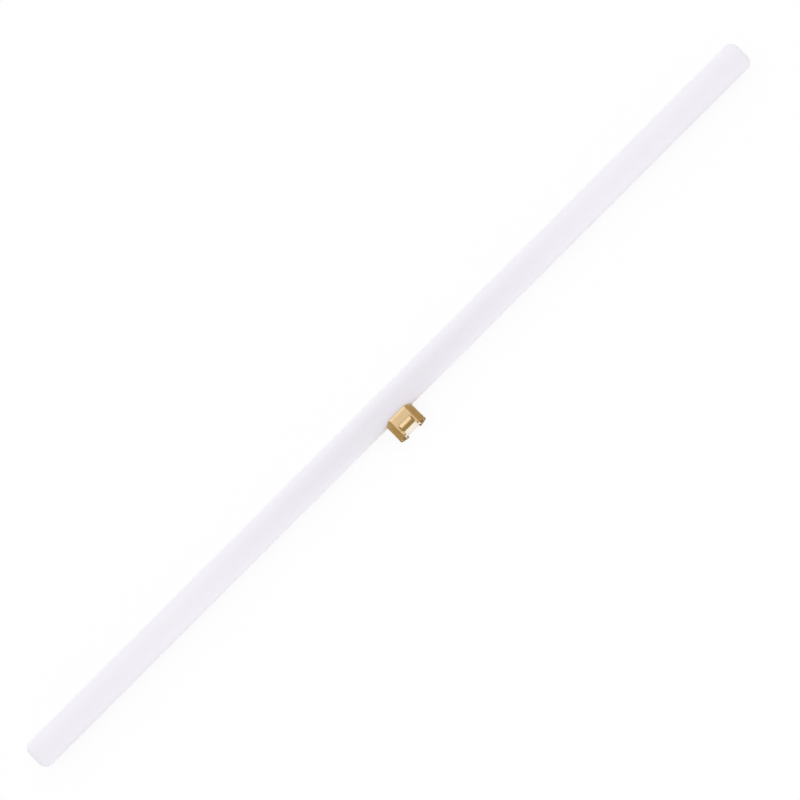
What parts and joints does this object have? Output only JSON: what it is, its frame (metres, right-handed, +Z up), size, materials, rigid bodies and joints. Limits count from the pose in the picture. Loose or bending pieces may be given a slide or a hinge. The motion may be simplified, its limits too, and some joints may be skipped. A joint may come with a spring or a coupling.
{
  "type": "tubular light bulb",
  "caption": "Long straight opal tube lamp, sealed at both ends, with a two-contact brass plug-in cap across the middle of its length.",
  "frame": {"origin": "on the floor under the middle of the box round the lamp, as it lies at rest", "axes": "+X along the tube, -Y towards the side that the cap points to, +Z up from the floor it lies on"},
  "size_m": [1, 0.0536, 0.0317],
  "materials": {
    "opal_glass": "opal white, satin outside, can't be seen into",
    "brass_sheet": "bright drawn sheet",
    "white_moulding": "moulded, creamy white",
    "capping_cement": "baked cement",
    "contact_brass": "stamped, slightly dull",
    "lead_wire": "drawn wire"
  },
  "bodies": {
    "root": {"opal_tube": "opal_glass", "base_shell": "brass_sheet", "base_insulator": "white_moulding", "base_cement": "capping_cement", "contact_left": "contact_brass", "contact_right": "contact_brass", "lead_wire_left": "lead_wire", "lead_wire_right": "lead_wire"}
  },
  "joints": []
}
